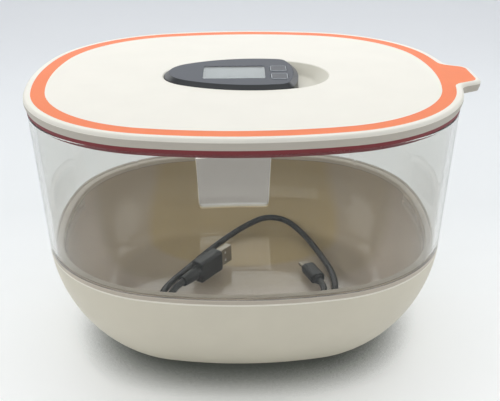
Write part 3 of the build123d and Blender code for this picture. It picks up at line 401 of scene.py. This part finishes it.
def face_material():
    face = Shader(
        "face_plastic", linear(68, 73, 82), 0.5, variation=0.04, grain=0.1, Specular_IOR_Level=0.22)
    dress(face, "module_face")


def display_materials():
    lcd = Shader("lcd_glass", linear(126, 129, 130), 0.6, variation=0.01, Specular_IOR_Level=0.2)
    dress(lcd, "lcd_panel")
    window = Shader(
        "window_clear", linear(235, 240, 240), 0.03, variation=0.0, Transmission_Weight=1.0, IOR=1.1)
    window.clear_to_lamps()
    dress(window, "display_window")


def key_material(name):
    """Dark key with a lighter band round its top: a painted highlight."""
    key = Shader(name + "_rubber", linear(56, 61, 69), 0.5, variation=0.03, grain=0.1)
    low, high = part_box(name)
    middle = (low + high) / 2
    across = key.math("DIVIDE", key.away("X", middle.x), KEY_HALF_X)
    along = key.math("DIVIDE", key.away("Y", middle.y), KEY_HALF_Y)
    # Painted highlight: a lighter band round the key's top
    highlight_band = key.math("GREATER_THAN", key.either(across, along), KEY_HIGHLIGHT_START)
    key.set("Base Color", key.mix(highlight_band, key.colour, linear(146, 152, 158)))
    dress(key, name)


# Materials that several bodies share

def silicone_material():
    red = Shader("red_silicone", linear(120, 30, 38), 0.5, variation=0.04, grain=0.2)
    feet = ("foot_front_left", "foot_front_right", "foot_rear_left", "foot_rear_right")
    dress(red, "lid_seal", *feet)


def black_material():
    black = Shader("black_plastic", linear(24, 31, 36), 0.45, variation=0.08, grain=0.06)
    dress(black, "usb_plug_grip", "power_plug_grip", "socket_bezel", "sensor_stub", "cell_holder",
          "key_switches", "heater_sensor")


def metal_material():
    metal = Shader(
        "plated_steel", linear(158, 152, 140), 0.36, variation=0.05, grain=0.1, Metallic=1.0)
    dress(metal, "usb_plug_shell", "power_plug_tip", "power_socket", "coin_cell", "liner_screws",
          "board_screws", "module_screws")


def board_material():
    board = Shader("board_coating", linear(28, 92, 58), 0.35, variation=0.1, grain=0.2)
    dress(board, "control_board", "module_board")


def tongue_material():
    tongue = Shader("tongue_plastic", linear(226, 226, 222), 0.4, variation=0.02)
    dress(tongue, "usb_plug_tongue")


# Lead, from the large plug to the small one: x, y and rise above the bowl's floor, in millimetres
LEAD_RADIUS = 0.0021
LEAD_ROUTE = [
    (-39.4, -13.3, 5.4),
    (-43.9, -19.1, 5.2),
    (-47.6, -26.9, 2.0),
    (-47.2, -35.2, 0.0),
    (-42.3, -42.2, 0.0),
    (-33.4, -45.6, 0.0),
    (-20.0, -45.9, 0.0),
    (0.0, -44.8, 0.0),
    (20.0, -42.6, 0.0),
    (36.0, -39.5, 0.0),
    (49.2, -32.8, 0.0),
    (56.5, -21.3, 0.0),
    (58.6, -6.5, 0.0),
    (57.2, 10.0, 0.0),
    (52.9, 28.5, 0.0),
    (47.2, 50.0, 0.0),
    (40.8, 66.6, 0.7),
    (31.3, 77.2, 4.3),
    (16.8, 79.8, 5.8),
    (2.6, 74.4, 1.8),
    (-10.4, 60.6, 0.0),
    (-25.0, 37.5, 0.0),
    (-38.0, 13.0, 0.0),
    (-49.0, -6.5, 0.0),
    (-53.0, -18.7, 0.0),
    (-53.4, -32.0, 0.0),
    (-48.6, -45.0, 0.0),
    (-37.2, -52.2, 0.0),
    (-20.5, -54.0, 0.0),
    (-9.5, -51.0, 2.4),
    (-1.0, -46.4, 5.6),
    (8.5, -41.0, 5.6),
    (17.5, -37.4, 2.4),
    (26.5, -35.2, 0.0),
    (34.8, -33.2, 0.0),
    (44.1, -29.2, 0.0),
    (49.3, -22.3, 0.4),
    (50.6, -14.6, 1.65),
    (48.2, -7.6, 1.65),
]


def add_lead():
    points = [(BOWL_X + x / 1000, y / 1000, FLOOR_Z + rise / 1000) for x, y, rise in LEAD_ROUTE]
    curve = bpy.data.curves.new("power_lead_cord", "CURVE")
    curve.dimensions = "3D"
    curve.bevel_depth = LEAD_RADIUS
    curve.bevel_resolution = 8
    curve.resolution_u = 10
    curve.use_fill_caps = True
    spline = curve.splines.new("NURBS")
    spline.points.add(len(points) - 1)
    for point, place in zip(spline.points, points):
        point.co = (*place, 1)
    spline.order_u = 3
    spline.use_endpoint_u = True
    cable = bpy.data.objects.new("power_lead_cord", curve)
    scene.collection.objects.link(cable)
    jacket = Shader("lead_jacket", linear(22, 29, 34), 0.42, variation=0.08, grain=0.2)
    curve.materials.append(jacket.material)
    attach(cable, "bowl")
    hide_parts("power_lead")


# Floor, backdrop and light

def paper_material():
    """Near white in front and greyer behind, with a painted shadow round the object and a little glow
    that lights nothing else.
    """
    paper = Shader("sweep_paper", linear(246, 249, 250), 0.6, variation=0.005)
    depth = paper.math("DIVIDE", paper.math("SUBTRACT", paper.axis("Y"), PAPER_NEAR_Y), PAPER_REACH)
    far = paper.math("ADD", depth, paper.math("DIVIDE", paper.axis("Z"), PAPER_REACH))
    tints = (linear(250, 251, 250), linear(226, 229, 230), linear(196, 199, 203))
    tint_and_shade = paper.ramp(far, PAPER_STOPS, tints)
    path = paper.add("ShaderNodeLightPath").outputs
    seen = paper.either(path["Is Camera Ray"], path["Is Glossy Ray"])
    seen = paper.either(seen, path["Is Transmission Ray"])
    # Painted shadow: the floor darker close to the object, where the camera, metal and clear plastic
    # see it
    contact = paper.add("ShaderNodeAmbientOcclusion", samples=8)
    contact.inputs["Distance"].default_value = CONTACT_SHADOW_DISTANCE
    shade = paper.ramp(contact.outputs["AO"], CONTACT_SHADOW_STOPS, ((0.12, 0.13, 0.12, 1), WHITE))
    tint_and_shade = paper.mix(1.0, tint_and_shade, paper.mix(seen, WHITE, shade), blend="MULTIPLY")
    glow = paper.ramp(far, PAPER_STOPS, (grey(0.3), grey(0.07), grey(0.02)))
    paper.set("Base Color", tint_and_shade)
    paper.set("Emission Color", tint_and_shade)
    paper.set("Emission Strength", paper.both(seen, glow))
    return paper.material


def add_sweep():
    """Floor that curves up into the backdrop."""
    profile = [(SWEEP_FRONT_Y, 0.0), (SWEEP_BEND_Y, 0.0)]
    for step in range(1, SWEEP_STEPS + 1):
        angle = math.pi / 2 * step / SWEEP_STEPS
        y = SWEEP_BEND_Y + SWEEP_RADIUS * math.sin(angle)
        profile.append((y, SWEEP_RADIUS * (1 - math.cos(angle))))
    profile.append((SWEEP_BEND_Y + SWEEP_RADIUS, SWEEP_TOP))
    vertices = [(x, y, z) for y, z in profile for x in (-SWEEP_HALF, SWEEP_HALF)]
    faces = [(2 * i, 2 * i + 1, 2 * i + 3, 2 * i + 2) for i in range(len(profile) - 1)]
    mesh = bpy.data.meshes.new("sweep")
    mesh.from_pydata(vertices, [], faces)
    mesh.polygons.foreach_set("use_smooth", [True] * len(faces))
    sweep = bpy.data.objects.new("sweep", mesh)
    scene.collection.objects.link(sweep)
    mesh.materials.append(paper_material())


def add_lamp(name, place, aim, size, power):
    """Area lamp: place, aim and size in metres, power in watts."""
    data = bpy.data.lights.new(name, "AREA")
    data.shape = "RECTANGLE"
    data.size, data.size_y = size
    data.energy = power
    lamp = bpy.data.objects.new(name, data)
    lamp.location = place
    lamp.rotation_euler = (Vector(aim) - Vector(place)).to_track_quat("-Z", "Y").to_euler()
    scene.collection.objects.link(lamp)


def light_world():
    """Plain light, with a pale grey that the camera, metal and clear plastic show."""
    world = bpy.data.worlds.new("studio")
    scene.world = world
    world.use_nodes = True
    tree = world.node_tree
    light = tree.nodes["Background"]
    light.inputs["Color"].default_value = (0.92, 0.93, 0.95, 1)
    light.inputs["Strength"].default_value = 0.38
    backdrop = tree.nodes.new("ShaderNodeBackground")
    backdrop.inputs["Color"].default_value = linear(214, 217, 220)
    path = tree.nodes.new("ShaderNodeLightPath").outputs
    seen = path["Is Camera Ray"]
    for ray in ("Is Glossy Ray", "Is Transmission Ray"):
        either = tree.nodes.new("ShaderNodeMath")
        either.operation = "MAXIMUM"
        tree.links.new(seen, either.inputs[0])
        tree.links.new(path[ray], either.inputs[1])
        seen = either.outputs[0]
    mixer = tree.nodes.new("ShaderNodeMixShader")
    tree.links.new(seen, mixer.inputs[0])
    tree.links.new(light.outputs[0], mixer.inputs[1])
    tree.links.new(backdrop.outputs[0], mixer.inputs[2])
    tree.links.new(mixer.outputs[0], tree.nodes["World Output"].inputs["Surface"])


place_camera()

shell_material()
liner_material()
heater_materials()
bowl_material()
lid_material()
lid_part_materials()
case_material()
face_material()
display_materials()
key_material("key_front")
key_material("key_rear")
silicone_material()
black_material()
metal_material()
board_material()
tongue_material()
add_lead()

add_sweep()
add_lamp("top_light", (0.0, 0.25, 1.25), (0, 0, 0.1), (1.6, 1.0), 5.4)
add_lamp("back_light", (0.0, 0.85, 0.6), (0, 0, 0.08), (1.6, 0.5), 4.5)
add_lamp("left_light", (-0.95, 0.1, 0.5), (0, 0, 0.08), (0.9, 0.5), 2.1)
add_lamp("right_light", (0.95, 0.1, 0.5), (0, 0, 0.08), (0.9, 0.5), 2.1)
add_lamp("front_light", (-0.2, -1.4, 0.9), (0, 0, 0.1), (1.2, 0.7), 3.8)
light_world()

scene.view_settings.view_transform = "Standard"
